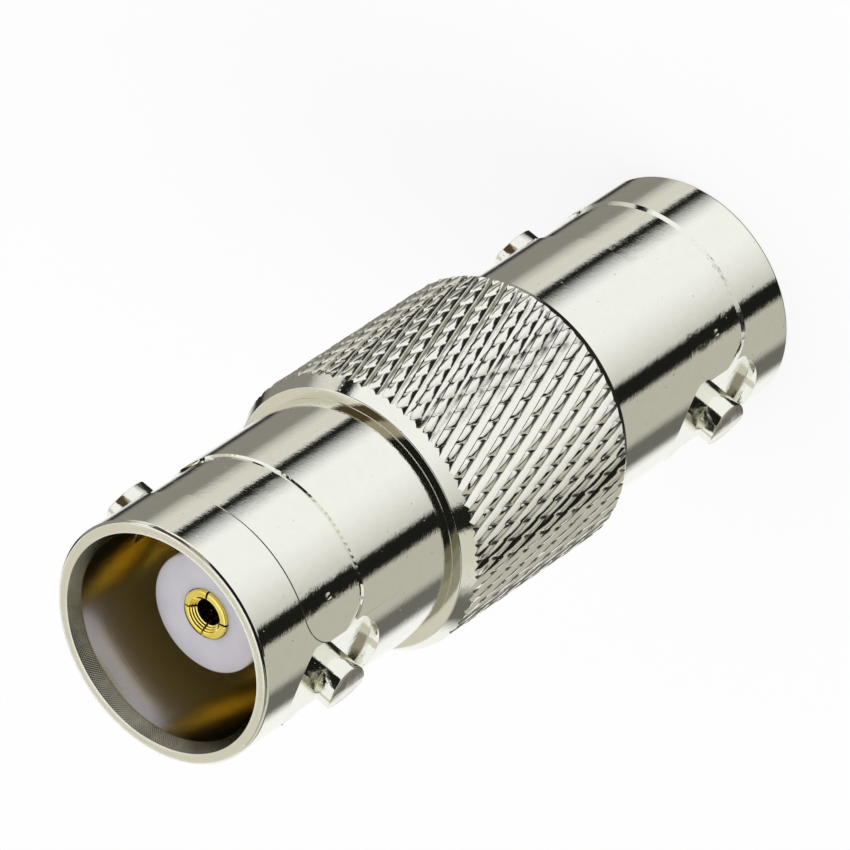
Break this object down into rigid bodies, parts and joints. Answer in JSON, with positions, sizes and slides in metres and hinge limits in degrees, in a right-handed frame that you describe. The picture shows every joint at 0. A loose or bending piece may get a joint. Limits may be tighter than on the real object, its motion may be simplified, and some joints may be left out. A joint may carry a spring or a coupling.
{
  "type": "bayonet coaxial coupler",
  "caption": "Jack to jack coaxial coupler: a bayonet lug barrel with an insulated socket at each end and a diamond knurled grip between them.",
  "frame": {"origin": "on the axis, in the plane of the rear mouth that it stands on", "axes": "+Z along the axis from the rear mouth to the front mouth, X through the bayonet lugs"},
  "size_m": [0.0112, 0.0112, 0.0314],
  "materials": {
    "nickel_body": "nickel plated, knurled grip and bright barrel",
    "nickel_shell": "nickel plated, bright turned",
    "insulator": "machined white PTFE",
    "gold_contact": "gold plated"
  },
  "bodies": {
    "root": {"knurled_body": "nickel_body", "front_shell": "nickel_shell", "front_insulator": "insulator", "rear_insulator": "insulator", "centre_contact": "gold_contact"}
  },
  "joints": []
}
